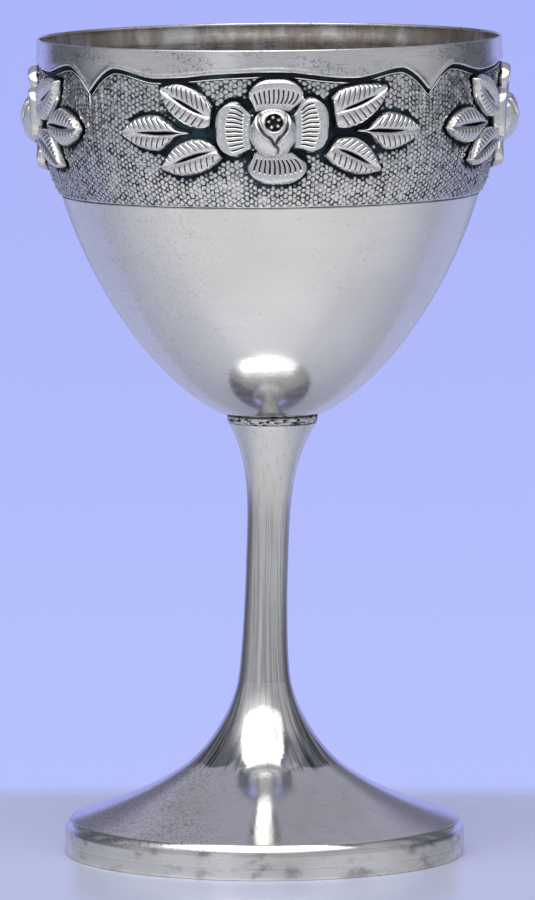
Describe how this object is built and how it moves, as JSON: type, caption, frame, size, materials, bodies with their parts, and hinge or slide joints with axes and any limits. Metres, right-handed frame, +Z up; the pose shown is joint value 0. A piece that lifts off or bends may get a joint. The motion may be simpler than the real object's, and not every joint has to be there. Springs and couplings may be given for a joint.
{
  "type": "goblet",
  "caption": "Small stemmed silver goblet: thin round bowl with a scalloped, rose-ornamented band round the lip, slender hollow stem and spread hollow foot.",
  "frame": {"origin": "centre of the flat ring that the foot stands on, at table level", "axes": "+Z up along the goblet's axis from foot to lip, -Y towards the front rose spray, +X to its right"},
  "size_m": [0.0792, 0.0792, 0.13],
  "materials": {
    "foot_rim": "satin silver, worn bright along its upper edge",
    "foot": "polished silver with fine wear, pits and streaks",
    "stem": "polished silver with lengthwise streaks and small pits",
    "collar": "rough mottled silver solder",
    "bowl": "spun satin silver with fine horizontal scratches",
    "band": "plain silver rim over a ring-punched ground with dark patina in its hollows",
    "rose": "worn bright silver with dark patina in the cut lines",
    "bud": "worn bright silver with dark patina in the folds",
    "leaf": "worn bright silver with dark patina in the veins"
  },
  "bodies": {
    "root": {"foot_rim": "foot_rim", "foot": "foot", "stem": "stem", "stem_collar": "collar", "bowl": "bowl", "ornament_band": "band", "rose_front": "rose", "rose_right": "rose", "rose_back": "rose", "rose_left": "rose", "rose_bud_front": "bud", "rose_bud_right": "bud", "rose_bud_back": "bud", "rose_bud_left": "bud", "leaf_front_left_upper": "leaf", "leaf_front_left_middle": "leaf", "leaf_front_left_lower": "leaf", "leaf_front_right_upper": "leaf", "leaf_front_right_middle": "leaf", "leaf_front_right_lower": "leaf", "leaf_right_left_upper": "leaf", "leaf_right_left_middle": "leaf", "leaf_right_left_lower": "leaf", "leaf_right_right_upper": "leaf", "leaf_right_right_middle": "leaf", "leaf_right_right_lower": "leaf", "leaf_back_left_upper": "leaf", "leaf_back_left_middle": "leaf", "leaf_back_left_lower": "leaf", "leaf_back_right_upper": "leaf", "leaf_back_right_middle": "leaf", "leaf_back_right_lower": "leaf", "leaf_left_left_upper": "leaf", "leaf_left_left_middle": "leaf", "leaf_left_left_lower": "leaf", "leaf_left_right_upper": "leaf", "leaf_left_right_middle": "leaf", "leaf_left_right_lower": "leaf"}
  },
  "joints": []
}
